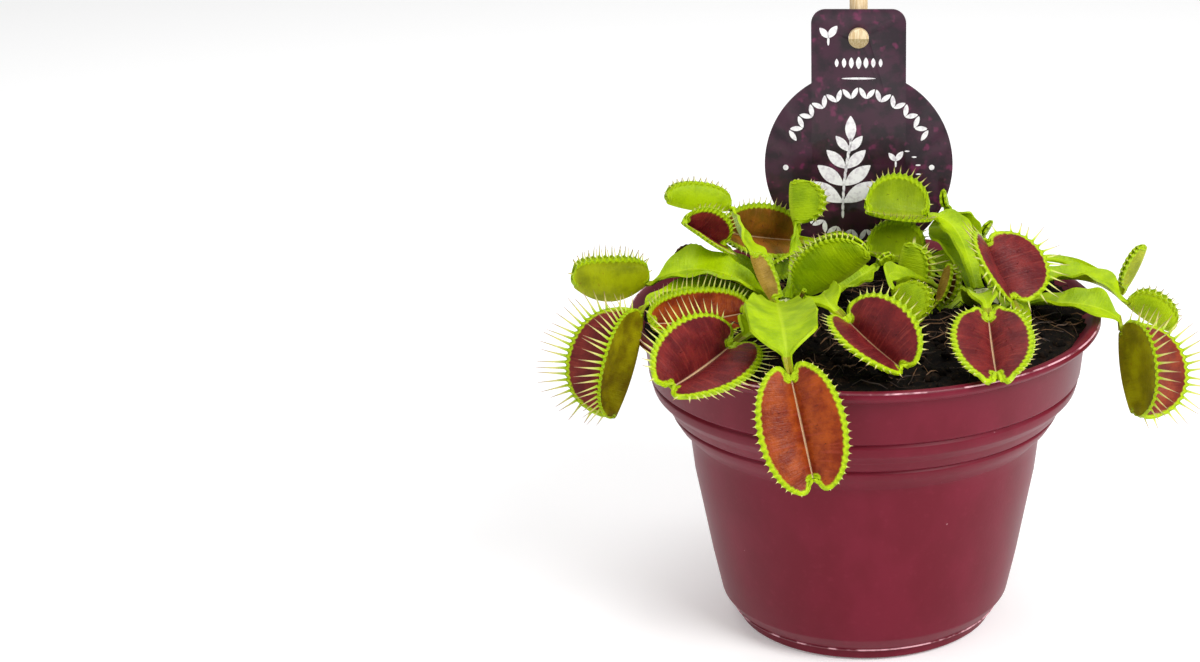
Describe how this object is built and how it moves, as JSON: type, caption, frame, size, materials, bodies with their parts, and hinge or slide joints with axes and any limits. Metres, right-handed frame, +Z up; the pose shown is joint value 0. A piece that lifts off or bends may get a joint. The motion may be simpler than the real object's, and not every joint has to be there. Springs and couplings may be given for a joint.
{
  "type": "potted venus flytrap",
  "caption": "Venus flytrap in a round stepped nursery pot of peat, with open and shut trap leaves and a round-headed plant label on a wooden stake.",
  "frame": {"origin": "on the pot's axis, on the plane of its foot", "axes": "+Z up along the pot's axis; -Y is the front, the side the label faces; +X to the right seen from the front"},
  "size_m": [0.1169, 0.099, 0.1151],
  "materials": {
    "burgundy_polypropylene": "satin burgundy polypropylene",
    "peat": "dark fibrous peat",
    "rhizome": "pale living leaf bases",
    "leaf": "lime green living leaf, maroon inside the traps",
    "printed_card": "dark purple gloss print",
    "birch": "plain unvarnished birch"
  },
  "bodies": {
    "root": {"crown_main": "rhizome", "crown_side": "rhizome", "label_peg": "birch", "label_stake": "birch", "leaf_back_left_shut": "leaf", "leaf_back_left_small": "leaf", "leaf_back_open": "leaf", "leaf_back_upright": "leaf", "leaf_back_young": "leaf", "leaf_centre_broad": "leaf", "leaf_centre_bud": "leaf", "leaf_centre_shut": "leaf", "leaf_far_left_hanging": "leaf", "leaf_far_right_bud": "leaf", "leaf_far_right_green": "leaf", "leaf_far_right_hanging": "leaf", "leaf_front_hanging": "leaf", "leaf_front_left": "leaf", "leaf_front_right": "leaf", "leaf_left_half_shut": "leaf", "leaf_left_low": "leaf", "leaf_middle_round": "leaf", "leaf_middle_upright": "leaf", "leaf_middle_young": "leaf", "leaf_old_dark": "leaf", "leaf_rear_arch": "leaf", "leaf_rear_blade": "leaf", "leaf_rear_hood": "leaf", "leaf_rear_pale": "leaf", "leaf_red_bud": "leaf", "leaf_right_heart": "leaf", "leaf_right_open": "leaf", "peat_soil": "peat", "plant_label": "printed_card", "pot": "burgundy_polypropylene"}
  },
  "joints": []
}
